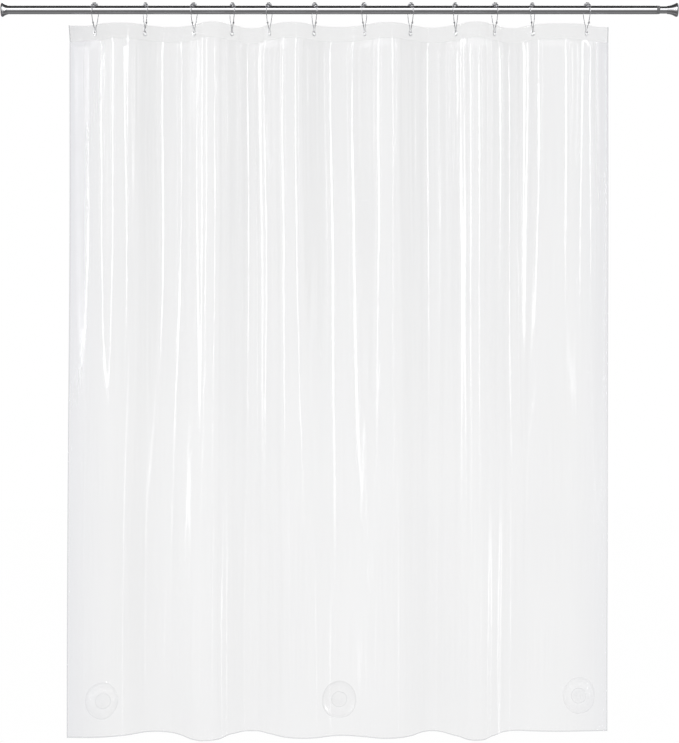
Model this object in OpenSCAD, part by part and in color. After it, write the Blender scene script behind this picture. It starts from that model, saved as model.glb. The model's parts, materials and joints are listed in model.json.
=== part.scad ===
// Clear film shower curtain hung from twelve roller rings on a tension rod.
// The origin is the centre of the left wall pad's face, on the axis of the rod.
// +X runs along the rod, +Y points away from the bather and +Z points up.
// The film is one sheet. It is divided at its fold crests into twelve panels, one behind each ring,
// so that neighbouring panels can turn against each other as the curtain is drawn.

/* [Rod] */
// Length of the rod, wall to wall
rod_length = 1727; // [1700:1:1800]
// Outside diameter of the outer tube
outer_tube_d = 22.2; // [22:0.1:23]
// Outside diameter of the inner tube
inner_tube_d = 19; // [18.4:0.1:19.2]
// Wall thickness of both tubes
tube_wall = 0.8; // [0.6:0.1:0.9]
// Diameter of the flared end caps
cap_d = 36; // [32:1:40]
// Thickness of the rubber wall pads
pad_thickness = 3; // [2:0.5:4]

/* [Rings] */
// Diameter of a ring's wire
wire_d = 2; // [1.8:0.1:2.2]
// Diameter of a roller ball
roller_d = 8; // [7.8:0.1:8.2]
// Radius of the wire over the rod
ring_arc_r = 19; // [19:0.5:21]
// Radius of the small loop that holds the grommet
ring_loop_r = 5; // [4.5:0.5:6]
// Turn of each ring about the vertical, alternately left and right
ring_yaw = 22; // [0:1:24]

/* [Curtain] */
// Width of the sheet when flat
sheet_width = 1828.8; // [1800:0.1:1850]
// Height of the sheet
sheet_height = 1828.8; // [1000:0.1:2000]
// Thickness of the film
film_t = 0.3; // [0.2:0.05:0.5]
// Height of the doubled band along the top edge
header_height = 41; // [35:1:60]
// Distance from the rod's axis down to the sheet's top edge
top_drop = 38; // [36:1:45]
// Angle between the film and the rod at each grommet
hook_heading = 48; // [40:1:52]

/* [Weights] */
// Diameter of a hem weight
weight_d = 40; // [30:1:44]
// Thickness of a hem weight
weight_t = 5; // [3:0.5:6]
// Height of the weights' centres above the bottom edge
weight_rise = 102; // [60:1:150]

/* [Hidden] */
$fn = 48;

// rings, counted from the left, and the gaps between them along the rod
ring_count = 12;
first_ring_x = 239;
ring_gaps = [128, 125, 97, 95, 115, 128, 118, 115, 100, 97, 138];
left_flap_run = 69;
right_flap_run = 61;

// rod
outer_r = outer_tube_d / 2;
outer_bore_r = outer_r - tube_wall;
inner_r = inner_tube_d / 2;
inner_bore_r = inner_r - tube_wall;
cap_r = cap_d / 2;
cap_floor = 2;
cap_lip = 1.2;
cap_recess_r = 9.2;
cap_neck_wall = 1.1;
left_cap_length = 13;
right_cap_length = 24;
flare_steps = 8;
outer_tube_start = pad_thickness + cap_floor;
outer_tube_end = rod_length - 54;
right_cap_face = rod_length - pad_thickness;
right_cap_neck = right_cap_face - right_cap_length;
inner_tube_start = 900;
inner_tube_end = right_cap_face - cap_floor;
pad_boss_r = 9;
pad_boss_length = 1.5;
fit_gap = 0.05;
turn_gap = 0.3;

// bush in the end of the outer tube
bush_nose = 8;
bush_nose_r = 10.4;
bush_spigot = 15;
bush_bore_r = inner_r + turn_gap;

// grip inside the rod
plug_flange_r = outer_bore_r - 0.9;
plug_flange = 4;
plug_depth = 30;
plug_spigot_r = 5;
plug_spigot = 30;
plug_head_r = 7;
plug_head = 4;
sleeve_r = outer_bore_r - turn_gap;
sleeve_slot = 1.6;
sleeve_slot_length = 20;

// ring
grommet_z = -top_drop - 22;
wire_r = wire_d / 2;
roller_r = roller_d / 2;
rod_clearance = 0.3;
roller_arc_r = ring_arc_r - 0.2;
ring_arc_z = outer_r + rod_clearance + roller_r - roller_arc_r;
wire_lift = 2;
ring_loop_z = grommet_z + wire_lift + ring_loop_r;
leg_rise = ring_arc_z - ring_loop_z;
leg_lean = asin((ring_arc_r - ring_loop_r) / leg_rise);
leg_length = leg_rise * cos(leg_lean);
wire_bead_r = wire_r * 1.25;
leg_gap = 0.3;
roller_gap = 0.3;
roller_pitch = 25;

// film
half_span = sheet_width / ring_count / 2;
flat_patch = 8;
fold_gap = 0.5;
header_inset = 0.5;
curve_steps = 11;
span_sweep = 90;
flap_sweep = 110;

// grommet
grommet_bore_r = 4.75;
grommet_barrel_r = 5.2;
grommet_flange_r = 7;
grommet_proud = 0.7;

// weights: the arc length from the ring's line to the weight's centre
left_weight_run = 24;
right_weight_run = 15;
weight_gap = 0.3;
weight_edge = 1.5;
weight_z = -top_drop - sheet_height + weight_rise;
middle_ring = ring_count / 2;

function numbered(name, i) = str(name, "_", i < 10 ? "0" : "", i);
function sum_to(list, n) = n <= 0 ? 0 : list[n - 1] + sum_to(list, n - 1);
function ring_x(i) = first_ring_x + sum_to(ring_gaps, i - 1);
// folds after odd rings come forward, and folds after even rings go back
function fold_sign(i) = i % 2 == 0 ? 1 : -1;

// Angle of the film from the rod, at t from 0 (the end of the flat patch) to 1 (the crest or the free edge).
function heading(t, bow, sweep) = hook_heading * cos(sweep * t) + bow * sin(180 * t);
function curve_step() = (half_span - flat_patch) / curve_steps;
function mid_heading(k, bow, sweep) = heading((k - 0.5) / curve_steps, bow, sweep);
// Run along the rod of half a fold with a given bow, and the bow that gives a wanted run.
function curve_run(bow, sweep, k = curve_steps) = k == 0
    ? flat_patch * cos(hook_heading)
    : curve_run(bow, sweep, k - 1) + curve_step() * cos(mid_heading(k, bow, sweep));
function bow_for(run, sweep, low = -40, high = 60, n = 30) =
    n == 0 ? (low + high) / 2
    : curve_run((low + high) / 2, sweep) > run ? bow_for(run, sweep, (low + high) / 2, high, n - 1)
    : bow_for(run, sweep, low, (low + high) / 2, n - 1);
// Points of half a fold, from the grommet's line outwards, each as [x, y, heading].
function curve_points(bow, sweep) = [
    for (
        k = 0, x = flat_patch * cos(hook_heading), y = flat_patch * sin(hook_heading);
        k <= curve_steps;
        k = k + 1,
        x = x + curve_step() * cos(mid_heading(k, bow, sweep)),
        y = y + curve_step() * sin(mid_heading(k, bow, sweep))
    ) [x, y, heading(k / curve_steps, bow, sweep)]
];
function half_fold(run, sweep) = curve_points(bow_for(run, sweep), sweep);
// A crest's last point is drawn back, so that two panels leave a narrow gap at their fold line.
function drawn_back(points) = [
    for (k = [0:len(points) - 1])
        k < len(points) - 1 ? points[k] : points[k] - [fold_gap, 0, 0]
];
function side_run(i, right) = right
    ? (i == ring_count ? right_flap_run : ring_gaps[i - 1] / 2)
    : (i == 1 ? left_flap_run : ring_gaps[i - 2] / 2);
function is_flap(i, right) = right ? i == ring_count : i == 1;
function side_points(i, right) = is_flap(i, right)
    ? half_fold(side_run(i, right), flap_sweep)
    : drawn_back(half_fold(side_run(i, right), span_sweep));
// One panel's centreline from left to right. Its left half is its own form turned half round.
function panel_line(i) = concat(
    [for (k = [curve_steps:-1:0]) let (p = side_points(i, false)[k]) [-p[0], -p[1], p[2]]],
    side_points(i, true)
);
function offset_line(line, side) = [for (p = line) [p[0] - side * sin(p[2]), p[1] + side * cos(p[2])]];
// The header's weld ends a little inside the film's side edges.
function trimmed(line) = let (last = len(line) - 1) [
    for (k = [0:last])
        let (move = k == 0 ? header_inset : k == last ? -header_inset : 0)
        line[k] + move * [cos(line[k][2]), sin(line[k][2]), 0]
];
function backwards(list) = [for (k = [len(list) - 1:-1:0]) list[k]];
function band(line, t) = concat(offset_line(line, t / 2), backwards(offset_line(line, -t / 2)));
function flare(neck_r, near, far) = [
    for (k = [0:flare_steps])
        let (t = k / flare_steps) [neck_r + (cap_r - neck_r) * (1 - t) * (1 - t), far + (near - far) * (1 - t)]
];

// Turns a profile of [radius, distance along the rod] points about the rod's axis.
module turned(points) {
    rotate([0, 90, 0]) rotate_extrude() polygon(points);
}

module tube(start, end, r, bore_r) {
    turned([[bore_r, start], [r, start], [r, end], [bore_r, end]]);
}

module outer_tube() {
    color("gainsboro") tube(outer_tube_start, outer_tube_end, outer_r, outer_bore_r);
}

module inner_tube() {
    color("silver") tube(inner_tube_start, inner_tube_end, inner_r, inner_bore_r);
}

// A trumpet with its flange on the wall side, a neck over the tube and a floor that the tube butts on.
module end_cap(face, length, tube_r) {
    towards = length > 0 ? 1 : -1;
    neck_r = tube_r + cap_neck_wall;
    turned(concat(
        [[cap_recess_r, face + towards * cap_floor], [cap_recess_r, face], [cap_r, face]],
        flare(neck_r, face + towards * cap_lip, face + length),
        [[tube_r + fit_gap, face + length], [tube_r + fit_gap, face + towards * cap_floor]]
    ));
}

module left_end_cap() {
    color("gray") end_cap(pad_thickness, left_cap_length, outer_r);
}

module right_end_cap() {
    color("gray") end_cap(right_cap_face, -right_cap_length, inner_r);
}

// A rubber disc with a boss that sits in the end cap's recess.
module wall_pad(wall, towards) {
    back = wall + towards * pad_thickness;
    turned([
        [0, wall],
        [cap_r - 1.4, wall],
        [cap_r - 0.6, wall + towards * 0.8],
        [cap_r - 0.6, back],
        [pad_boss_r, back],
        [pad_boss_r, back + towards * pad_boss_length],
        [0, back + towards * pad_boss_length]
    ]);
}

module left_wall_pad() {
    color("dimgray") wall_pad(0, 1);
}

module right_wall_pad() {
    color("dimgray") wall_pad(rod_length, -1);
}

// Guides the inner tube in the mouth of the outer tube.
module tube_bush() {
    color("darkgray") turned([
        [bush_bore_r, outer_tube_end - bush_spigot],
        [outer_bore_r - fit_gap, outer_tube_end - bush_spigot],
        [outer_bore_r - fit_gap, outer_tube_end],
        [outer_r, outer_tube_end],
        [bush_nose_r, outer_tube_end + bush_nose],
        [bush_bore_r, outer_tube_end + bush_nose]
    ]);
}

// Fixed in the inner tube's end. Its spigot turns in the grip sleeve as the tube is twisted.
module lock_plug() {
    flange = inner_tube_start - plug_flange;
    head = flange - plug_spigot;
    color("ivory") turned([
        [0, inner_tube_start + plug_depth],
        [inner_bore_r - fit_gap, inner_tube_start + plug_depth],
        [inner_bore_r - fit_gap, inner_tube_start],
        [plug_flange_r, inner_tube_start],
        [plug_flange_r, flange],
        [plug_spigot_r, flange],
        [plug_spigot_r, head],
        [plug_head_r, head],
        [plug_head_r, head - plug_head],
        [0, head - plug_head]
    ]);
}

// A split sleeve that slides in the outer tube and grips it when the rod is tightened.
module lock_sleeve() {
    end = inner_tube_start - plug_flange - 1;
    start = end - plug_spigot + 2;
    color("white") difference() {
        tube(start, end, sleeve_r, plug_spigot_r + turn_gap);
        for (turn = [0:120:240]) {
            rotate([turn, 0, 0]) translate([start - 1, -sleeve_slot / 2, 0])
                cube([sleeve_slot_length, sleeve_slot, outer_r]);
        }
    }
}

// Stands a ring's own flat drawing (x out from the rod, y up) on the rod at ring i.
module at_ring(i) {
    translate([ring_x(i), 0, 0]) rotate([0, 0, fold_sign(i) * ring_yaw]) rotate([90, 0, 90]) children();
}

module wire_arc(r, z, from, sweep) {
    translate([0, z, 0]) rotate([0, 0, from]) rotate_extrude(angle = sweep) translate([r, 0]) circle(r = wire_r);
}

// A straight leg with a weld bead at each end, where it meets the arcs.
module wire_leg() {
    foot = [ring_loop_r * cos(leg_lean), ring_loop_z - ring_loop_r * sin(leg_lean), 0];
    translate(foot) rotate([0, 0, 90 - leg_lean]) rotate([0, 90, 0]) {
        translate([0, 0, leg_gap]) cylinder(h = leg_length - 2 * leg_gap, r = wire_r);
        sphere(r = wire_bead_r);
        translate([0, 0, leg_length]) sphere(r = wire_bead_r);
    }
}

// A pear of wire: a wide arc over the rod, two legs and a small loop through the grommet.
module ring_wire(i) {
    color("silver") at_ring(i) union() {
        wire_arc(ring_arc_r, ring_arc_z, -leg_lean, 180 + 2 * leg_lean);
        wire_leg();
        mirror([1, 0, 0]) wire_leg();
        wire_arc(ring_loop_r, ring_loop_z, 180 + leg_lean, 180 - 2 * leg_lean);
    }
}

// A ball turned about its straight bore.
module roller() {
    bore_r = wire_r + roller_gap;
    rotate([0, 90, 0]) rotate_extrude() intersection() {
        circle(r = roller_r);
        translate([bore_r, -roller_r]) square([roller_r, 2 * roller_r]);
    }
}

// Five balls threaded on the wire over the rod, each set inwards so that the curved wire runs clear in it.
module ring_rollers(i) {
    color("gainsboro") at_ring(i) translate([0, ring_arc_z, 0])
        for (k = [-2:2]) rotate([0, 0, k * roller_pitch]) translate([0, roller_arc_r, 0]) roller();
}

// Puts a turned piece at grommet i, with its axis square to the film.
module at_grommet(i) {
    translate([ring_x(i), 0, grommet_z]) rotate([0, 0, fold_sign(i) * hook_heading]) rotate([-90, 0, 0]) children();
}

// A two-part eyelet closed through the doubled header.
module grommet(i) {
    face = film_t;
    color("whitesmoke") at_grommet(i) rotate_extrude() polygon([
        [grommet_bore_r, -face - grommet_proud],
        [grommet_barrel_r, -face - grommet_proud],
        [grommet_flange_r - 0.5, -face - grommet_proud * 0.8],
        [grommet_flange_r, -face],
        [grommet_barrel_r, -face],
        [grommet_barrel_r, face],
        [grommet_flange_r, face],
        [grommet_flange_r - 0.5, face + grommet_proud * 0.8],
        [grommet_barrel_r, face + grommet_proud],
        [grommet_bore_r, face + grommet_proud]
    ]);
}

// The film from one fold line to the next, with its share of the header band.
module curtain_panel(i) {
    line = panel_line(i);
    mirrored = [for (p = line) [p[0], fold_sign(i) * p[1], fold_sign(i) * p[2]]];
    color([0.92, 0.94, 0.97, 0.6]) difference() {
        translate([ring_x(i), 0, -top_drop]) union() {
            translate([0, 0, -sheet_height]) linear_extrude(sheet_height) polygon(band(mirrored, film_t));
            translate([0, 0, -header_height]) linear_extrude(header_height)
                polygon(band(trimmed(mirrored), 2 * film_t));
        }
        at_grommet(i) cylinder(h = 4, r = grommet_barrel_r + fit_gap, center = true);
    }
}

// A flat disc with a rounded edge, lying against the film. The film bulges towards -Y when forward is true.
module hem_weight(x, y, turn, forward) {
    side = forward ? -1 : 1;
    lift = film_t / 2 + weight_gap + weight_t / 2;
    edge_r = weight_d / 2;
    half_t = weight_t / 2;
    color("aliceblue") translate([x, y, weight_z]) rotate([0, 0, turn]) translate([0, side * lift, 0])
        rotate([90, 0, 0]) rotate_extrude() polygon([
            [0, -half_t],
            [edge_r - weight_edge, -half_t],
            [edge_r, -half_t + weight_edge],
            [edge_r, half_t - weight_edge],
            [edge_r - weight_edge, half_t],
            [0, half_t]
        ]);
}

// The point of a half fold nearest to a given arc length from the grommet's line.
function point_at(points, run) = points[round((run - flat_patch) / curve_step())];

module weight_left() {
    p = point_at(side_points(1, true), left_weight_run);
    hem_weight(ring_x(1) + p[0], -p[1], -p[2], true);
}

module weight_middle() {
    crest = half_fold(side_run(middle_ring, true), span_sweep)[curve_steps];
    hem_weight(ring_x(middle_ring) + crest[0], crest[1], 0, false);
}

module weight_right() {
    p = point_at(side_points(ring_count, false), right_weight_run);
    hem_weight(ring_x(ring_count) - p[0], -p[1], p[2], true);
}

outer_tube();
inner_tube();
left_end_cap();
right_end_cap();
left_wall_pad();
right_wall_pad();
tube_bush();
lock_plug();
lock_sleeve();
for (i = [1:ring_count]) {
    ring_wire(i);
    ring_rollers(i);
    grommet(i);
    curtain_panel(i);
}
weight_left();
weight_middle();
weight_right();
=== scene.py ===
"""Looks for the clear film shower curtain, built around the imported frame.

Lengths are in metres in the frame's axes: +X along the rod, +Y away from the viewer, +Z up.
The film is one sheet. On it, u runs across from the left edge and v runs down from the top edge.
"""
import json
import math

import bpy
import numpy as np
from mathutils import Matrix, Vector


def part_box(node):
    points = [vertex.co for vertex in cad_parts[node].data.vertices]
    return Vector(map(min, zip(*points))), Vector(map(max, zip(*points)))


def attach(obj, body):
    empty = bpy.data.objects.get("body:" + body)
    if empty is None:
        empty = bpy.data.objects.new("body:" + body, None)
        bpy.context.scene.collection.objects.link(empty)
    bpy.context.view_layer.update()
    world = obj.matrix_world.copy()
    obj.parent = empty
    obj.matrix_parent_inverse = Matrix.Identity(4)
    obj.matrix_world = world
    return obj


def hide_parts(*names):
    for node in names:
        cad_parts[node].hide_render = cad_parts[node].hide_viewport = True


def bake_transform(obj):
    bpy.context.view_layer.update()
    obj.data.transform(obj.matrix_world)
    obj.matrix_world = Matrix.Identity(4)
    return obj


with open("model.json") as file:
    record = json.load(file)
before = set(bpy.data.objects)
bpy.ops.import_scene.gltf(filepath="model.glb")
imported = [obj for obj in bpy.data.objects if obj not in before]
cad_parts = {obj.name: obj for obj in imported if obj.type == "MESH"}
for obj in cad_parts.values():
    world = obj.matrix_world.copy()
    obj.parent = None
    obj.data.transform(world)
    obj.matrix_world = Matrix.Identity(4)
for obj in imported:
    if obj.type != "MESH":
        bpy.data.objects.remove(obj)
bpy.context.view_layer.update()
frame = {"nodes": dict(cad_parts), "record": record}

# ---------------------------------------------------------------- measures from the frame

JOINTS = {j["name"]: j for j in frame["record"]["behaviour"]["joints"]}
RING_COUNT = 12


def numbered(name, i):
    return f"{name}_{i:02d}"


FIRST_HOOK = JOINTS["curtain_draw"]["pos_m"]
HOOK_X = [FIRST_HOOK[0]] + [JOINTS[numbered("ring_turn", i)]["pos_m"][0] for i in range(2, RING_COUNT + 1)]
HOOK_Z = FIRST_HOOK[2]
CREST_DEPTH = [abs(JOINTS[numbered("fold", i)]["pos_m"][1]) for i in range(1, RING_COUNT)]
ROD_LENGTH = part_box("right_wall_pad")[1][0]
SHEET_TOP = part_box("curtain_panel_01")[1][2]
SHEET_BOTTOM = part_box("curtain_panel_01")[0][2]
SHEET_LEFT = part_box("curtain_panel_01")[0][0]
SHEET_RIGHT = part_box("curtain_panel_12")[1][0]
SHEET_HEIGHT = SHEET_TOP - SHEET_BOTTOM
SHEET_WIDTH = 1.8288  # laid flat
HALF_SPAN = SHEET_WIDTH / RING_COUNT / 2
HEADER = 0.041  # height of the band that is turned over along the top
GROMMET_V = SHEET_TOP - HOOK_Z
FLAT_PATCH = 0.008  # the film stays flat this far to each side of a hook
HEM_RISE = 0.012  # how much higher the photo's hem hangs than the flat sheet's height would put it
HOOK_HEADING = math.radians(48)  # angle between the film and the rod at each hook
RING_YAW = math.radians(22)  # turn of each ring about the vertical, alternately left and right
MM = 0.001

rng = np.random.default_rng(11)


def fold_sign(i):
    return 1 if i % 2 == 0 else -1


# ---------------------------------------------------------------- the sheet's shape

COLS = 52  # columns in half a span


def row_depths():
    """Rows are close together in the header, around the grommets and at its weld, and wider apart below."""
    header = [0, 0.004, 0.009, 0.013]
    grommet = [0.015 + 0.002 * k for k in range(8)]
    weld = [0.031, 0.034, 0.037, 0.0385, 0.040, 0.0415, 0.043, 0.046, 0.050, 0.056, 0.063]
    body = list(np.linspace(0.072, SHEET_HEIGHT - 0.010, 112))
    hem = [SHEET_HEIGHT - gap for gap in (0.0050, 0.0035, 0.0022, 0)]
    return np.array(header + grommet + weld + body + hem)


ROWS = row_depths()


def ease(x, low, high):
    t = np.clip((x - low) / (high - low), 0, 1)
    return t * t * (3 - 2 * t)


def spline(points, per=8):
    """Catmull-Rom points through a list of points, ends included."""
    p = np.asarray(points, float)
    p = np.concatenate([2 * p[:1] - p[1:2], p, 2 * p[-1:] - p[-2:-1]])
    out = []
    for k in range(1, len(p) - 2):
        for t in np.arange(per) / per:
            a, b, c, d = p[k - 1:k + 3]
            square, cube = 2 * a - 5 * b + 4 * c - d, 3 * b - a - 3 * c + d
            out.append(0.5 * (2 * b + (c - a) * t + square * t ** 2 + cube * t ** 3))
    out.append(p[-2])
    return np.array(out)


def heading(s, start, bow, sweep):
    """Angle of the film from the rod at arc length s from the hook, as in the CAD panels."""
    t = np.clip((s - FLAT_PATCH) / (HALF_SPAN - FLAT_PATCH), 0, 1)
    return start[:, None] * np.cos(sweep * t)[None] + bow[:, None] * np.sin(math.pi * t)[None]


def half_fold(run, start, sweep):
    """x, y and heading at each column of half a fold, one row for each start angle."""
    step = HALF_SPAN / COLS
    mids = (np.arange(COLS) + 0.5) * step
    low, high = np.full(len(start), math.radians(-28)), np.full(len(start), math.radians(95))
    for _ in range(32):
        bow = (low + high) / 2
        wide = (np.cos(heading(mids, start, bow, sweep)).sum(1) * step) > run
        low, high = np.where(wide, bow, low), np.where(wide, high, bow)
    angles = heading(mids, start, bow, sweep)
    zero = np.zeros((len(start), 1))
    x = np.concatenate([zero, np.cumsum(np.cos(angles) * step, 1)], 1)
    y = np.concatenate([zero, np.cumsum(np.sin(angles) * step, 1)], 1)
    return x, y, heading(np.arange(COLS + 1) * step, start, bow, sweep)


# How far the film turns at each hook's line lower down, in degrees: the outer two hang nearly flat.
LOW_HEADING = [12, 44, 50, 46, 52, 45, 47, 50, 46, 52, 44, 10]
# Depth of the hem behind the rod in mm: the left edge, each hook and fold in turn, and the right edge.
# They are judged from how the photo's hem rises and falls, then changed near the middle weight so
# that its fold can close, and they stay under 58 mm so that the film keeps to the size of the CAD.
HEM_DEPTH = [
    -22, -22, -2, 46, 38, -46, -56, 22, 57, 22, -30, -30, 2, -12, -32, -4, 57, 0, -57, 0, 57, 57, 52, 54, 57,
]


def plain_sheet():
    """The folded sheet without its wrinkles: x, y and heading on a grid of rows and columns."""
    xs, ys, turns = [], [], []
    for i in range(1, RING_COUNT + 1):
        fall = ease(ROWS, 0.0, 0.058) if i in (1, RING_COUNT) else ease(ROWS, 0.15, 0.75)
        start = HOOK_HEADING + (math.radians(LOW_HEADING[i - 1]) - HOOK_HEADING) * fall
        sides = []
        for right in (False, True):
            outer = i == (RING_COUNT if right else 1)
            if outer:
                run = SHEET_RIGHT - HOOK_X[-1] if right else HOOK_X[0] - SHEET_LEFT
                x, y, turn = half_fold(run, start, math.radians(110))
            else:
                near = i if right else i - 1
                run = (HOOK_X[near] - HOOK_X[near - 1]) / 2
                x, y, turn = half_fold(run, start, math.pi / 2)
                y = y * (CREST_DEPTH[near - 1] / y[:, -1:])
            sides.append((x, y, turn))
        (lx, ly, lt), (rx, ry, rt) = sides
        sign = fold_sign(i)
        centre = HOOK_X[i - 1]
        xs += [centre - lx[:, :0:-1], centre + rx[:, :-1]]
        ys += [-sign * ly[:, :0:-1], sign * ry[:, :-1]]
        turns += [sign * lt[:, :0:-1], sign * rt[:, :-1]]
        if i == RING_COUNT:
            xs.append(centre + rx[:, -1:])
            ys.append(sign * ry[:, -1:])
            turns.append(sign * rt[:, -1:])
    x, y, turn = (np.concatenate(parts, 1) for parts in (xs, ys, turns))
    hem = spline([(k, depth * MM) for k, depth in enumerate(HEM_DEPTH)], COLS)[:, 1]
    lower = ease(ROWS, 0.30, 1.75)[:, None]
    return x, y * (1 - lower) + hem[None] * lower, turn * (1 - 0.5 * lower)


def crease(u, v, at, top, length, width, height, lean):
    """A crease that is widest at its top and runs out to a point at its foot."""
    along = np.clip((v - top) / length, 0, 1)
    fade = ease(v, top - 0.01, top + 0.03) * (1 - along) ** 0.7 * (v < top + length)
    across = (u - at - lean * (v - top)) / (width * (1.1 - 0.45 * along))
    return height * fade * np.exp(-across * across)


TOP_CREASES, LOW_CREASES, SLOW_WAVES = 110, 44, 14


def wrinkles(u, v):
    """How far the film stands out from its plain folds."""
    out = np.zeros(np.broadcast(u, v).shape)
    below = ease(v, HEADER, HEADER + 0.02)
    for _ in range(TOP_CREASES):
        width = rng.uniform(0.0028, 0.0065)
        out += crease(
            u, v, rng.uniform(0.01, SHEET_WIDTH - 0.01), rng.uniform(0.035, 0.06),
            rng.gamma(2.2, 0.17) + 0.08, width,
            rng.choice([-1, 1]) * width * rng.uniform(0.05, 0.16), rng.normal(0, 0.012),
        )
    for _ in range(LOW_CREASES):
        width = rng.uniform(0.003, 0.008)
        out += crease(
            u, v, rng.uniform(0.01, SHEET_WIDTH - 0.01), rng.uniform(0.5, 1.4), rng.uniform(0.2, 0.5),
            width, rng.choice([-1, 1]) * width * rng.uniform(0.04, 0.12), rng.normal(0, 0.01),
        )
    for _ in range(SLOW_WAVES):
        wave_u, wave_v = rng.uniform(6, 22), rng.uniform(3, 8)
        phase_u, phase_v = rng.uniform(0, 2 * math.pi, 2)
        out += rng.uniform(0.3, 0.9) * MM * np.sin(wave_u * u + phase_u) * np.cos(wave_v * v + phase_v)
    return out * (0.12 + 0.88 * below)


def sheet_grid():
    x, y, turn = plain_sheet()
    u = np.linspace(0, SHEET_WIDTH, x.shape[1])[None]
    v = ROWS[:, None]
    out = wrinkles(u, v)
    z = SHEET_TOP - v * (1 - HEM_RISE / SHEET_HEIGHT) + 0 * u
    points = np.stack([x - out * np.sin(turn), y + out * np.cos(turn), z], 2)
    across = np.gradient(points, axis=1)
    down = np.gradient(points, ROWS, axis=0)
    normals = np.cross(across, down)
    return points, normals / np.linalg.norm(normals, axis=2, keepdims=True)


POINTS, NORMALS = sheet_grid()
COLUMN_COUNT = POINTS.shape[1]


def at_grid(table, u, v):
    """Bilinear reading of a table on the sheet's grid."""
    c = np.clip(u / SHEET_WIDTH * (COLUMN_COUNT - 1), 0, COLUMN_COUNT - 1.000001)
    r = np.clip(np.interp(v, ROWS, np.arange(len(ROWS))), 0, len(ROWS) - 1.000001)
    c0, r0 = c.astype(int), r.astype(int)
    fc, fr = (c - c0)[..., None], (r - r0)[..., None]
    top = table[r0, c0] * (1 - fc) + table[r0, c0 + 1] * fc
    low = table[r0 + 1, c0] * (1 - fc) + table[r0 + 1, c0 + 1] * fc
    return top * (1 - fr) + low * fr


def on_sheet(u, v, out=0.0):
    """Points at (u, v), lifted by out towards the back, and their normals."""
    normals = at_grid(NORMALS, u, v)
    normals = normals / np.linalg.norm(normals, axis=-1, keepdims=True)
    return at_grid(POINTS, u, v) + np.asarray(out)[..., None] * normals, normals


# ---------------------------------------------------------------- mesh helpers


def link(obj, material):
    bpy.context.scene.collection.objects.link(obj)
    obj.data.materials.append(material)
    return obj


def mesh_object(name, points, faces, material, normals=None, uv=None, edge=None):
    mesh = bpy.data.meshes.new(name)
    mesh.from_pydata([tuple(p) for p in points], [], faces)
    mesh.update()
    for polygon in mesh.polygons:
        polygon.use_smooth = True
    if uv is not None:
        layer = mesh.uv_layers.new(name="sheet")
        loops = np.zeros(len(mesh.loops), int)
        mesh.loops.foreach_get("vertex_index", loops)
        layer.data.foreach_set("uv", np.asarray(uv, np.float32)[loops].ravel())
    if edge is not None:
        attribute = mesh.attributes.new("cut_edge", "FLOAT", "POINT")
        attribute.data.foreach_set("value", np.asarray(edge, np.float32))
    if normals is not None:
        mesh.normals_split_custom_set_from_vertices([tuple(n) for n in normals])
    return link(bpy.data.objects.new(name, mesh), material)


def tube(points, radius, sides=12, closed=False):
    """Vertices and faces of a round wire along points, with a steady frame."""
    points = np.asarray(points, float)
    count = len(points)
    if closed:
        tangents = np.roll(points, -1, 0) - np.roll(points, 1, 0)
    else:
        tangents = np.gradient(points, axis=0)
    tangents /= np.linalg.norm(tangents, axis=1, keepdims=True)
    radii = np.broadcast_to(radius, (count,))
    side = np.cross(tangents[0], [0.3, 0.9, 0.1])
    verts, faces = [], []
    for k in range(count):
        side = side - tangents[k] * side.dot(tangents[k])
        side /= np.linalg.norm(side)
        up = np.cross(tangents[k], side)
        for a in np.arange(sides) * 2 * math.pi / sides:
            verts.append(points[k] + radii[k] * (math.cos(a) * side + math.sin(a) * up))
    for k in range(count if closed else count - 1):
        a, b = k * sides, ((k + 1) % count) * sides
        faces += [(a + j, a + (j + 1) % sides, b + (j + 1) % sides, b + j) for j in range(sides)]
    if not closed:
        faces.append(tuple(range(sides))[::-1])
        faces.append(tuple(range((count - 1) * sides, count * sides)))
    return verts, faces


# ---------------------------------------------------------------- materials


class Nodes:
    """A material's node tree with a Principled shader, and short ways to add to it."""

    def __init__(self, name):
        self.material = bpy.data.materials.new(name)
        self.material.use_nodes = True
        self.tree = self.material.node_tree
        self.shader = self.tree.nodes["Principled BSDF"]

    def add(self, kind, **inputs):
        node = self.tree.nodes.new(kind)
        for key, value in inputs.items():
            numbered_input = key[0] == "i" and key[1:].isdigit()
            socket = node.inputs[int(key[1:]) if numbered_input else key.replace("_", " ")]
            if isinstance(value, bpy.types.NodeSocket):
                self.tree.links.new(value, socket)
            else:
                socket.default_value = value
        return node

    def set(self, **values):
        for key, value in values.items():
            socket = self.shader.inputs[key.replace("_", " ")]
            if isinstance(value, bpy.types.NodeSocket):
                self.tree.links.new(value, socket)
            else:
                socket.default_value = value

    def math(self, operation, a, b=0.0, clamp=False):
        node = self.add("ShaderNodeMath", i0=a, i1=b)
        node.operation = operation
        node.use_clamp = clamp
        return node.outputs[0]

    def noise(self, vector, scale, detail=3.0, stretch=(1, 1, 1)):
        placed = self.add("ShaderNodeMapping", Vector=vector, Scale=stretch).outputs[0]
        return self.add("ShaderNodeTexNoise", Vector=placed, Scale=scale, Detail=detail).outputs[0]

    def ramp(self, value, low, high):
        """Maps 0-1 to low-high, as numbers or colours."""
        if isinstance(low, tuple):
            node = self.tree.nodes.new("ShaderNodeMix")
            node.data_type = "RGBA"
            self.tree.links.new(value, node.inputs[0])
            node.inputs[6].default_value = (*low, 1)
            node.inputs[7].default_value = (*high, 1)
            return node.outputs[2]
        return self.add("ShaderNodeMapRange", Value=value, To_Min=low, To_Max=high).outputs[0]

    def span(self, value, start, end, low=0.0, high=1.0):
        """Goes from low to high as value goes from start to end."""
        ends = dict(From_Min=start, From_Max=end, To_Min=low, To_Max=high)
        return self.add("ShaderNodeMapRange", Value=value, **ends).outputs[0]

    def bump(self, height, distance):
        return self.add("ShaderNodeBump", Height=height, Distance=distance, Strength=1.0).outputs[0]


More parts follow.
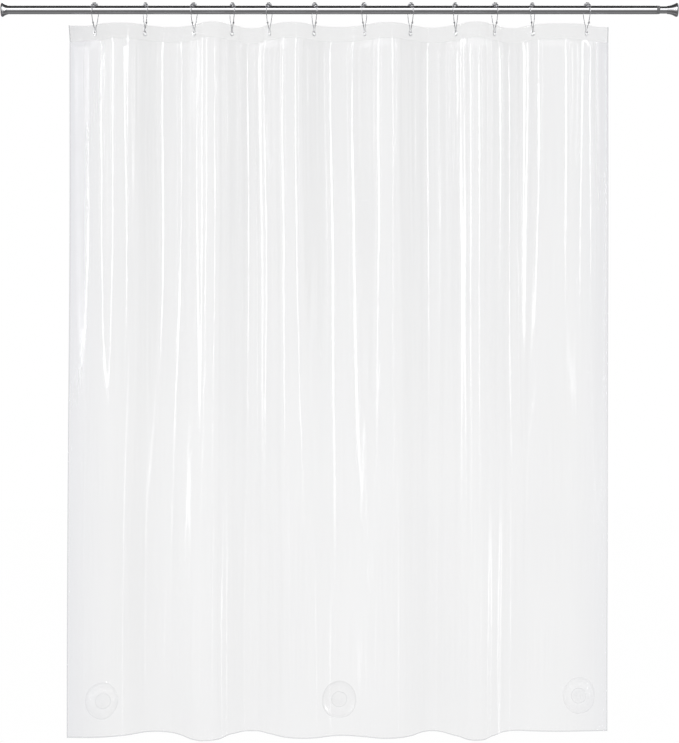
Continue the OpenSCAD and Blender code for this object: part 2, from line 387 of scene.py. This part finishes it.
def film_material(name, clear, rough, coat, coat_rough, side_shade_density, dark, light, handled=False):
    """Clear film: a pale cool tint and fine pressed streaks down its length, with painted shade: denser,
    darker cut edges and denser film towards the top, the left and both side edges.

    clear is its density seen square on. A handled film is more matt towards the sheet's side edges.
    """
    n = Nodes(name)
    uv = n.tree.nodes.new("ShaderNodeUVMap")
    uv.uv_map = "sheet"
    place = uv.outputs[0]
    streaks = n.noise(place, 1.0, 4, (260, 4, 1))
    ribs = n.noise(place, 1.0, 2, (90, 1.5, 1))
    cloud = n.noise(place, 1.0, 3, (6, 2.5, 1))
    across, down, _ = n.add("ShaderNodeSeparateXYZ", i0=place).outputs
    middle = n.math("ABSOLUTE", n.math("SUBTRACT", across, SHEET_WIDTH / 2))
    # Towards both side edges the film is painted denser: painted shade.
    side = n.span(middle, 0.80, 0.91)
    # Denser towards the top: painted shade that darkens the upper film and the header.
    high = n.span(down, -1.15, -0.05, 0.0, 0.115)
    # Denser towards the left edge: painted shade on the left of the sheet.
    left = n.span(across, 0.0, 0.42, 0.06, 0.0)
    facing = n.add("ShaderNodeLayerWeight", Blend=0.35).outputs["Facing"]
    edge = n.tree.nodes.new("ShaderNodeAttribute")
    edge.attribute_name = "cut_edge"
    density = n.math("MULTIPLY", n.math("POWER", facing, 3.0), 0.14)
    density = n.math("ADD", density, n.ramp(streaks, clear - 0.02, clear + 0.02))
    density = n.math("ADD", n.math("ADD", density, high), n.math("MULTIPLY", side, side_shade_density))
    density = n.math("ADD", density, left)
    # Along the cut edges the film is painted denser: painted shade for the edge of the sheet. On the pockets
    # the same mark draws the welded seams.
    density = n.math("ADD", density, n.math("MULTIPLY", edge.outputs["Fac"], 0.24), True)
    # The bluer tint towards the side edges is part of the same painted shade.
    tint = n.tree.nodes.new("ShaderNodeMix")
    tint.data_type = "RGBA"
    n.tree.links.new(side, tint.inputs[0])
    n.tree.links.new(n.ramp(cloud, dark, light), tint.inputs[6])
    tint.inputs[7].default_value = (dark[0] * 0.96, dark[1] * 0.97, dark[2] * 1.02, 1)
    # The darker colour at the cut edges is painted shade; on the pockets it darkens the welded seams.
    cut = n.tree.nodes.new("ShaderNodeMix")
    cut.data_type = "RGBA"
    n.tree.links.new(edge.outputs["Fac"], cut.inputs[0])
    n.tree.links.new(tint.outputs[2], cut.inputs[6])
    cut.inputs[7].default_value = (0.40, 0.41, 0.43, 1)
    shine = n.ramp(streaks, rough, rough + 0.10)
    if handled:
        worn = n.span(middle, 0.838, 0.890)
        shine = n.math("ADD", shine, n.math("MULTIPLY", worn, 0.22))
    n.set(
        Base_Color=cut.outputs[2],
        Alpha=density,
        Roughness=shine,
        Normal=n.bump(n.math("ADD", streaks, n.math("MULTIPLY", ribs, 3.0)), 0.00013),
        IOR=1.5,
        Specular_IOR_Level=0.8,
        Coat_Weight=coat,
        Coat_Roughness=coat_rough,
    )
    if handled:
        n.set(Coat_Weight=n.ramp(worn, coat, 0.25 * coat))
    return n.material


ALONG_ROD, ALL_WAYS = (4, 900, 900), (900, 900, 900)


def metal_material(name, colour, rough, grain=ALL_WAYS):
    """Bright plated steel with a fine polishing grain."""
    n = Nodes(name)
    place = n.tree.nodes.new("ShaderNodeTexCoord").outputs["Object"]
    fine = n.noise(place, 1.0, 3, grain)
    smudge = n.noise(place, 30.0, 4)
    tone = n.ramp(smudge, tuple(c * 0.94 for c in colour), colour)
    n.set(
        Base_Color=tone,
        Metallic=1.0,
        Roughness=n.math("ADD", n.ramp(smudge, rough, rough + 0.05), n.ramp(fine, 0.0, 0.03)),
        Normal=n.bump(fine, 0.00002),
    )
    return n.material


def rubber_material(name, colour):
    n = Nodes(name)
    place = n.tree.nodes.new("ShaderNodeTexCoord").outputs["Object"]
    grain = n.noise(place, 2500.0, 3)
    n.set(
        Base_Color=n.ramp(grain, colour, tuple(c * 1.35 for c in colour)),
        Roughness=n.ramp(grain, 0.62, 0.8),
        Normal=n.bump(grain, 0.0001),
        Specular_IOR_Level=0.35,
    )
    return n.material


def plastic_material(name, colour):
    n = Nodes(name)
    place = n.tree.nodes.new("ShaderNodeTexCoord").outputs["Object"]
    grain = n.noise(place, 1400.0, 2)
    n.set(
        Base_Color=n.ramp(grain, tuple(c * 0.93 for c in colour), colour),
        Roughness=n.ramp(grain, 0.34, 0.46),
        Normal=n.bump(grain, 0.00004),
    )
    return n.material


def stone_material(name):
    """Clear moulded weight with faint flow clouds."""
    n = Nodes(name)
    place = n.tree.nodes.new("ShaderNodeTexCoord").outputs["Object"]
    flow = n.noise(place, 60.0, 4)
    facing = n.add("ShaderNodeLayerWeight", Blend=0.5).outputs["Facing"]
    n.set(
        Base_Color=n.ramp(flow, (0.66, 0.67, 0.69), (0.80, 0.81, 0.82)),
        Alpha=n.ramp(n.math("POWER", facing, 1.5), 0.02, 0.8),
        Roughness=n.ramp(flow, 0.06, 0.14),
        Specular_IOR_Level=0.8,
        Coat_Weight=1.0,
        Coat_Roughness=0.04,
    )
    return n.material


GREY, PALE_GREY = (0.472, 0.473, 0.49), (0.584, 0.584, 0.592)
# The pocket film is painted far paler than the sheet: a painted sheen that makes the puffed pockets lighter
# than the film around them.
POCKET_SHEEN_TONE, PALE_POCKET_SHEEN_TONE = (0.84, 0.845, 0.85), (0.90, 0.90, 0.90)
FILM = film_material("clear_film", 0.27, 0.10, 1.0, 0.05, 0.055, GREY, PALE_GREY)
EDGE_FILM = film_material("edge_film", 0.27, 0.10, 1.0, 0.05, 0.055, GREY, PALE_GREY, handled=True)
HEADER_FILM = film_material("header_film", 0.02, 0.30, 0.3, 0.25, 0.0, GREY, PALE_GREY)
POCKET_FILM = film_material("pocket_film", 0.14, 0.08, 1.0, 0.04, 0.0, POCKET_SHEEN_TONE, PALE_POCKET_SHEEN_TONE)
ROD_CHROME = metal_material("rod_chrome", (0.83, 0.83, 0.84), 0.10, ALONG_ROD)
CAP_CHROME = metal_material("cap_chrome", (0.70, 0.70, 0.71), 0.14)
RING_STEEL = metal_material("ring_steel", (0.40, 0.40, 0.41), 0.12)
# A darker copy of the ring steel for the rollers: painted shade for how dark they look on the rod.
SHADED_ROLLER_STEEL = metal_material("roller_steel", (0.33, 0.33, 0.34), 0.08)
EYELET = metal_material("eyelet_steel", (0.88, 0.88, 0.89), 0.16)
RUBBER = rubber_material("pad_rubber", (0.10, 0.10, 0.105))
GRIP = plastic_material("grip_plastic", (0.78, 0.78, 0.76))
BUSH = plastic_material("bush_plastic", (0.13, 0.13, 0.135))
STONE = stone_material("clear_weight")


def give(node, material):
    """Puts a material on a CAD node that stays."""
    obj = frame["nodes"][node]
    for slot in obj.material_slots:
        slot.material = material


# ---------------------------------------------------------------- film pieces

HOLE_R = 0.0055


def hook_u(i):
    return HALF_SPAN + (i - 1) * 2 * HALF_SPAN


def opened(u, v):
    """Moves grid points out of the grommet holes to their rims, and marks those that were inside."""
    u, v = u.copy(), v.copy()
    inside = np.zeros(u.shape, bool)
    for i in range(1, RING_COUNT + 1):
        du, dv = u - hook_u(i), v - GROMMET_V
        far = np.hypot(du, dv)
        hit = far < HOLE_R
        grow = HOLE_R / np.maximum(far, 1e-6)
        u = np.where(hit, hook_u(i) + du * grow, u)
        v = np.where(hit, GROMMET_V + dv * grow, v)
        inside |= hit
    return u, v, inside


def film_piece(name, first, last, material=FILM):
    """The film from one column to another, with the header folded down behind its top edge."""
    layer_gap, weld_ridge = 0.2 * MM, 0.35 * MM
    cols = np.arange(first, last + 1) * (SHEET_WIDTH / (COLUMN_COUNT - 1))
    header_rows = ROWS[ROWS <= HEADER + 0.0001][::-1]
    depth = np.concatenate([header_rows, [0.0], ROWS])
    front = -layer_gap * (1 - ease(ROWS, HEADER - 0.001, HEADER + 0.001))
    lift = np.concatenate([np.full(len(header_rows), layer_gap), [0.0], front])
    u, v = np.meshgrid(cols, depth)
    out = np.repeat(lift[:, None], len(cols), 1)
    out[len(header_rows) + 1:] -= weld_ridge * np.exp(-((ROWS - HEADER) / 0.0011) ** 2)[:, None]
    u, v, inside = opened(u, v)
    points, normals = on_sheet(u, v, out)
    points[len(header_rows), :, 2] += 0.25 * MM
    # Marks the hem, the top fold and the side edges for the painted shade of the cut edges.
    edge = np.zeros(u.shape)
    edge[-2:] = 1
    edge[0] = 0.5
    if first == 0:
        edge[:, :2] = 1
    if last == COLUMN_COUNT - 1:
        edge[:, -2:] = 1
    rows, width = u.shape
    faces = []
    for r in range(rows - 1):
        for c in range(width - 1):
            if inside[r:r + 2, c:c + 2].all():
                continue
            a = r * width + c
            faces.append((a, a + 1, a + width + 1, a + width))
    used = sorted({k for f in faces for k in f})
    place = {k: j for j, k in enumerate(used)}
    faces = [tuple(place[k] for k in f) for f in faces]
    pick = lambda table: table.reshape(-1, *table.shape[2:])[used]
    uv = np.stack([pick(u), -pick(v)], 1)
    piece = mesh_object(name, pick(points), faces, material, pick(normals), uv, pick(edge))
    piece.data.materials.append(HEADER_FILM)
    depth_of = pick(v)
    for polygon in piece.data.polygons:
        if max(depth_of[k] for k in polygon.vertices) < HEADER + 0.0002:
            polygon.material_index = 1
    return piece


def build_film():
    left = film_piece("film_left_edge", 0, COLS, EDGE_FILM)
    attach(left, "panel_01")
    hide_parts("curtain_panel_01")
    right = film_piece("film_right_edge", COLUMN_COUNT - 1 - COLS, COLUMN_COUNT - 1, EDGE_FILM)
    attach(right, "panel_12")
    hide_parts("curtain_panel_12")
    for i in range(1, RING_COUNT):
        first = COLS + 2 * COLS * (i - 1)
        piece = film_piece(numbered("film_span", i), first, first + 2 * COLS)
        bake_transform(piece)
        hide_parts(numbered("curtain_panel", i), numbered("curtain_panel", i + 1))


# ---------------------------------------------------------------- weights and their pockets

POCKET_R = 0.048
STONE_R = 0.020
STONE_T = 0.005
WEIGHT_V = SHEET_HEIGHT - 0.094
ROOM_BEHIND = 0.5  # mm between the film and the disc
# Name, span it hangs in, distance across the sheet, side of the film (-1 is the front), slack of the pocket
# over the disc in mm, and the radii where the pocket leaves the sheet and is at its full height.
# The middle one is slack because it hangs in a fold that closes.
WEIGHTS = [
    ("left", 1, hook_u(1) + 0.024, -1, 0.0, 0.040, 0.026),
    ("middle", 6, hook_u(6) + HALF_SPAN, 1, 7.0, 0.0455, 0.034),
    ("right", 11, hook_u(12) - 0.015, -1, 0.0, 0.040, 0.026),
]


# The disc's outline, (radius in metres, height in mm), from the middle of its back to that of its front.
STONE_OUTLINE = [
    (0, 0.0), (0.010, 0.05), (0.0165, 0.0), (0.0185, 0.35), (0.0197, 1.1), (0.020, 2.3), (0.0197, 3.6),
    (0.0185, 4.5), (0.0165, 4.9), (0.0135, 5.0), (0.0115, 4.7), (0.009, 4.2), (0.005, 4.05), (0, 4.0),
]
STONE_BODY = {"left": "panel_01", "middle": "hem_middle", "right": "panel_12"}
UP = np.array([0, 0, 1.0])


def weight_place(u0, side):
    """The film's point behind a disc, the way that the disc faces, and its level direction to the right."""
    centre, facing = on_sheet(np.array([u0]), np.array([WEIGHT_V]))
    centre, facing = centre[0], facing[0] * side
    flat_right = np.array([-facing[1], facing[0], 0.0])
    flat_right /= np.linalg.norm(flat_right)
    if flat_right[0] < 0:
        flat_right = -flat_right
    return centre, facing, flat_right


OUTER_WELD_R, INNER_WELD_R = 0.0455, 0.0425


def build_pocket(name, u0, side, slack, foot, shoulder):
    """A round pocket of film over a disc, welded to the sheet around its rim."""
    rings, around = 22, 72
    radii = np.linspace(0, 1, rings + 1) ** 0.9 * POCKET_R
    angles = np.arange(around) * 2 * math.pi / around
    centre, facing, flat_right = weight_place(u0, side)
    grid_r, grid_a = np.meshgrid(radii[1:], angles, indexing="ij")
    du, dv = grid_r * np.cos(grid_a), grid_r * np.sin(grid_a)
    weld = np.exp(-((grid_r - OUTER_WELD_R) / 0.0012) ** 2)
    weld += 0.6 * np.exp(-((grid_r - INNER_WELD_R) / 0.0010) ** 2)
    wavy = np.sin(7 * grid_a + 1.3) + 0.7 * np.sin(12 * grid_a + 260 * grid_r)
    puff = 2.4 * ease(grid_r, 0.041, 0.034)
    puff += 0.8 * wavy * ease(grid_r, 0.022, 0.031) * ease(grid_r, 0.042, 0.036)
    along, _ = on_sheet(u0 + du, WEIGHT_V + dv, (0.35 + 0.6 * weld + puff) * MM * side)
    over = centre + flat_right * du[..., None] - UP * dv[..., None]
    crown = 0.4 * (1 - (grid_r / STONE_R) ** 2).clip(0) + 0.35 * wavy * ease(grid_r, 0.021, 0.028)
    over = over + facing * ((STONE_T + (ROOM_BEHIND + 0.7 + slack + crown) * MM)[..., None])
    mix = ease(grid_r, foot, shoulder)[..., None]
    shell = along * (1 - mix) + over * mix
    top = centre + facing * (STONE_T + (ROOM_BEHIND + 1.1 + slack) * MM)
    points = np.concatenate([[top], shell.reshape(-1, 3)])
    uv = np.concatenate([[[u0, -WEIGHT_V]], np.stack([u0 + du, -(WEIGHT_V + dv)], 2).reshape(-1, 2)])
    # Marks the welded seams, which are real, and the pocket's cut rim, which is painted darker as painted
    # shade.
    rim = 0.55 * weld + 0.3 * (grid_r > POCKET_R - 1e-6)
    edge = np.concatenate([[0.0], np.minimum(1, rim).ravel()])
    faces = [(0, 1 + k, 1 + (k + 1) % around) for k in range(around)]
    for r in range(rings - 1):
        a, b = 1 + r * around, 1 + (r + 1) * around
        faces += [(a + k, b + k, b + (k + 1) % around, a + (k + 1) % around) for k in range(around)]
    if side < 0:
        faces = [face[::-1] for face in faces]
    pocket = mesh_object(f"weight_pocket_{name}", points, faces, POCKET_FILM, None, uv, edge)
    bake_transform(pocket)


def build_stone(name, u0, side):
    """The clear moulded disc, turned from its outline."""
    centre, facing, flat_right = weight_place(u0, side)
    verts, faces, slices = [], [], 64
    for r, h in STONE_OUTLINE:
        for k in range(1 if r == 0 else slices):
            a = 2 * math.pi * k / slices
            spoke = math.cos(a) * flat_right + math.sin(a) * UP
            verts.append(centre + facing * (ROOM_BEHIND + h) * MM + r * spoke)
    starts = np.cumsum([0] + [1 if r == 0 else slices for r, _ in STONE_OUTLINE])
    for j in range(len(STONE_OUTLINE) - 1):
        a, b = starts[j], starts[j + 1]
        for k in range(slices):
            n = (k + 1) % slices
            if STONE_OUTLINE[j][0] == 0:
                faces.append((a, b + n, b + k))
            elif STONE_OUTLINE[j + 1][0] == 0:
                faces.append((a + k, a + n, b))
            else:
                faces.append((a + k, a + n, b + n, b + k))
    stone = mesh_object(f"clear_stone_{name}", verts, faces, STONE)
    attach(stone, STONE_BODY[name])
    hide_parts(f"weight_{name}")


# ---------------------------------------------------------------- rings

WIRE_R = 0.001


def ring_side():
    """Half of a ring from over the rod to the foot of its loop, as (out from the rod, up) points."""
    arc_r = 0.019
    arc_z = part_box("ring_wire_01")[1][2] - WIRE_R - arc_r
    lean = math.radians(14)
    arc = [(arc_r * math.sin(a), arc_z + arc_r * math.cos(a)) for a in np.linspace(0, math.pi / 2 + lean, 22)]
    loop_z = HOOK_Z + 0.0022
    neck = spline([
        arc[-1], (0.0122, -0.0290), (0.0066, -0.0405), (0.0040, -0.0468), (0.0037, -0.0490),
        (0.0041, -0.0520), (0.0042, -0.0545), (0.0030, -0.0571), (0.0, loop_z),
    ], 7)
    return np.array(arc[:-1] + [tuple(p) for p in neck])


def build_ring(i):
    """One bent wire: over the rod, down both sides, and through the grommet to its latch."""
    half = ring_side()
    other = half[::-1].copy()
    other[:, 0] *= -1
    path = np.concatenate([half, other[1:-1]])
    yaw = fold_sign(i) * RING_YAW
    out_axis = np.array([-math.sin(yaw), math.cos(yaw), 0])
    base = np.array([HOOK_X[i - 1], 0, 0])
    wire = base + path[:, :1] * out_axis + path[:, 1:] * UP
    verts, faces = tube(wire, WIRE_R, 12, closed=True)
    # the latch: the wire's free end hooks round the front leg
    side_axis = np.array([math.cos(yaw), math.sin(yaw), 0])
    turns = np.linspace(0, 2 * math.pi * 1.6, 30)
    coil = [
        base + out_axis * (-0.0105 - 0.0019 * math.cos(a) - 0.0004 * a / 6) + side_axis * 0.0019 * math.sin(a)
        + np.array([0, 0, -0.0322 - 0.00036 * a]) for a in turns
    ]
    more, more_faces = tube(coil, 0.0008, 10)
    faces += [tuple(k + len(verts) for k in f) for f in more_faces]
    ring = mesh_object(numbered("roller_ring", i), verts + more, faces, RING_STEEL)
    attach(ring, numbered("ring", i))
    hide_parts(numbered("ring_wire", i))


# ---------------------------------------------------------------- building it all

build_film()
for name, span, u0, side, slack, foot, shoulder in WEIGHTS:
    build_pocket(name, u0, side, slack, foot, shoulder)
    build_stone(name, u0, side)
for i in range(1, RING_COUNT + 1):
    build_ring(i)
    give(numbered("ring_rollers", i), SHADED_ROLLER_STEEL)
    give(numbered("grommet", i), EYELET)
for node in ("outer_tube", "inner_tube"):
    give(node, ROD_CHROME)
for node in ("left_end_cap", "right_end_cap"):
    give(node, CAP_CHROME)
for node in ("left_wall_pad", "right_wall_pad"):
    give(node, RUBBER)
give("tube_bush", BUSH)
for node in ("lock_plug", "lock_sleeve"):
    give(node, GRIP)

# ---------------------------------------------------------------- stage

CAMERA_BACK = 4.8
VIEW_HEIGHT = 1.898
VIEW_CENTRE_Z = -0.9237
CAMERA_Z = -0.80


def build_camera():
    data = bpy.data.cameras.new("camera")
    data.sensor_width = 36
    data.lens = 36 * CAMERA_BACK / VIEW_HEIGHT
    data.shift_y = (VIEW_CENTRE_Z - CAMERA_Z) / VIEW_HEIGHT
    data.clip_end = 60
    camera = bpy.data.objects.new("camera", data)
    camera.location = (ROD_LENGTH / 2, -CAMERA_BACK, CAMERA_Z)
    camera.rotation_euler = (math.pi / 2, 0, 0)
    bpy.context.scene.collection.objects.link(camera)
    bpy.context.scene.camera = camera


def build_floor():
    size, z = 7.0, SHEET_BOTTOM - 0.09
    n = Nodes("pale_floor")
    place = n.tree.nodes.new("ShaderNodeTexCoord").outputs["Object"]
    n.set(
        Base_Color=(0, 0, 0, 1),
        Specular_IOR_Level=0.0,
        Emission_Color=n.ramp(n.noise(place, 3.0), (0.995, 0.995, 0.995), (1.0, 1.0, 1.0)),
        Emission_Strength=1.0,
    )
    corners = [(-size, -size, z), (size, -size, z), (size, size, z), (-size, size, z)]
    points = [(x + ROD_LENGTH / 2, y, h) for x, y, h in corners]
    floor = mesh_object("floor", points, [(0, 1, 2, 3)], n.material)
    floor.visible_glossy = False


# Soft boxes that only gloss sees, the same in front and behind: azimuth and half width in degrees, low and
# high edge as the sine of the elevation, and strength. Each narrows towards its low edge.
SOFT_BOXES = [
    (-62, 2.8, -0.095, 0.30, 13.0),
    (-42, 1.2, 0.02, 0.30, 4.0),
    (36, 2.6, -0.085, 0.30, 13.0),
    (50, 2.6, -0.22, -0.125, 5.5),
    (60, 1.5, 0.03, 0.30, 5.0),
    (-46, 1.6, -0.21, -0.135, 4.5),
    (-80, 1.6, 0.01, 0.30, 3.0),
]
# Grey of the room that gloss sees, by the sine of the elevation.
ROOM = [
    (-1.0, 0.25), (-0.68, 0.13), (-0.45, 0.15), (-0.26, 0.45), (-0.12, 1.0), (0.22, 1.1),
    (0.30, 2.2), (0.46, 2.2), (0.58, 0.45), (0.72, 0.07), (1.0, 0.04),
]


def build_world():
    world = bpy.data.worlds.new("studio")
    bpy.context.scene.world = world
    world.use_nodes = True
    tree = world.node_tree
    tree.nodes.clear()
    new, wire = tree.nodes.new, tree.links.new

    def maths(operation, a, b=0.0):
        node = new("ShaderNodeMath")
        node.operation = operation
        for socket, value in zip(node.inputs, (a, b)):
            if isinstance(value, bpy.types.NodeSocket):
                wire(value, socket)
            else:
                socket.default_value = value
        return node.outputs[0]

    def soft_step(value, low, high):
        node = new("ShaderNodeMapRange")
        node.interpolation_type = "SMOOTHSTEP"
        wire(value, node.inputs["Value"])
        node.inputs["From Min"].default_value = low
        node.inputs["From Max"].default_value = high
        return node.outputs[0]

    direction = new("ShaderNodeSeparateXYZ")
    wire(new("ShaderNodeTexCoord").outputs["Generated"], direction.inputs[0])
    x, y, z = direction.outputs
    azimuth = maths("MULTIPLY", maths("ARCTAN2", x, maths("ABSOLUTE", y)), 180 / math.pi)
    ramp = new("ShaderNodeValToRGB")
    wire(maths("MULTIPLY", maths("ADD", z, 1.0), 0.5), ramp.inputs[0])
    stops = ramp.color_ramp.elements
    while len(stops) < len(ROOM):
        stops.new(0.5)
    for stop, (at, grey) in zip(stops, ROOM):
        stop.position = (at + 1) / 2
        stop.color = (grey, grey, grey * 1.01, 1)
    glow = ramp.outputs[0]
    total = None
    for middle, half, low, high, strength in SOFT_BOXES:
        wedge = maths("MULTIPLY", soft_step(z, low - 0.02, low + 0.11), float(half))
        away = maths("ABSOLUTE", maths("SUBTRACT", azimuth, float(middle)))
        near = soft_step(maths("SUBTRACT", away, wedge), 0.8, -0.8)
        band = maths("MULTIPLY", soft_step(z, low - 0.01, low + 0.03), soft_step(z, high + 0.04, high - 0.04))
        part = maths("MULTIPLY", maths("MULTIPLY", near, band), strength)
        total = part if total is None else maths("ADD", total, part)
    gloss = new("ShaderNodeMix")
    gloss.data_type = "RGBA"
    gloss.blend_type = "ADD"
    gloss.inputs[0].default_value = 1.0
    wire(glow, gloss.inputs[6])
    wire(total, gloss.inputs[7])
    path = new("ShaderNodeLightPath")
    chosen = new("ShaderNodeMix")
    chosen.data_type = "RGBA"
    wire(path.outputs["Is Glossy Ray"], chosen.inputs[0])
    chosen.inputs[6].default_value = (1, 1, 1, 1)
    wire(gloss.outputs[2], chosen.inputs[7])
    background = new("ShaderNodeBackground")
    wire(chosen.outputs[2], background.inputs[0])
    wire(background.outputs[0], new("ShaderNodeOutputWorld").inputs[0])


def build_key():
    light = bpy.data.lights.new("key", "AREA")
    light.shape = "RECTANGLE"
    light.size, light.size_y = 2.6, 2.0
    light.energy = 45
    key = bpy.data.objects.new("key", light)
    key.location = (ROD_LENGTH / 2 - 1.6, -3.4, 1.6)
    key.rotation_euler = (math.radians(58), 0, math.radians(-24))
    key.visible_camera = False
    key.visible_glossy = False
    bpy.context.scene.collection.objects.link(key)


build_camera()
build_floor()
build_world()
build_key()
bpy.context.scene.view_settings.view_transform = "Standard"
bpy.context.scene.view_settings.look = "None"
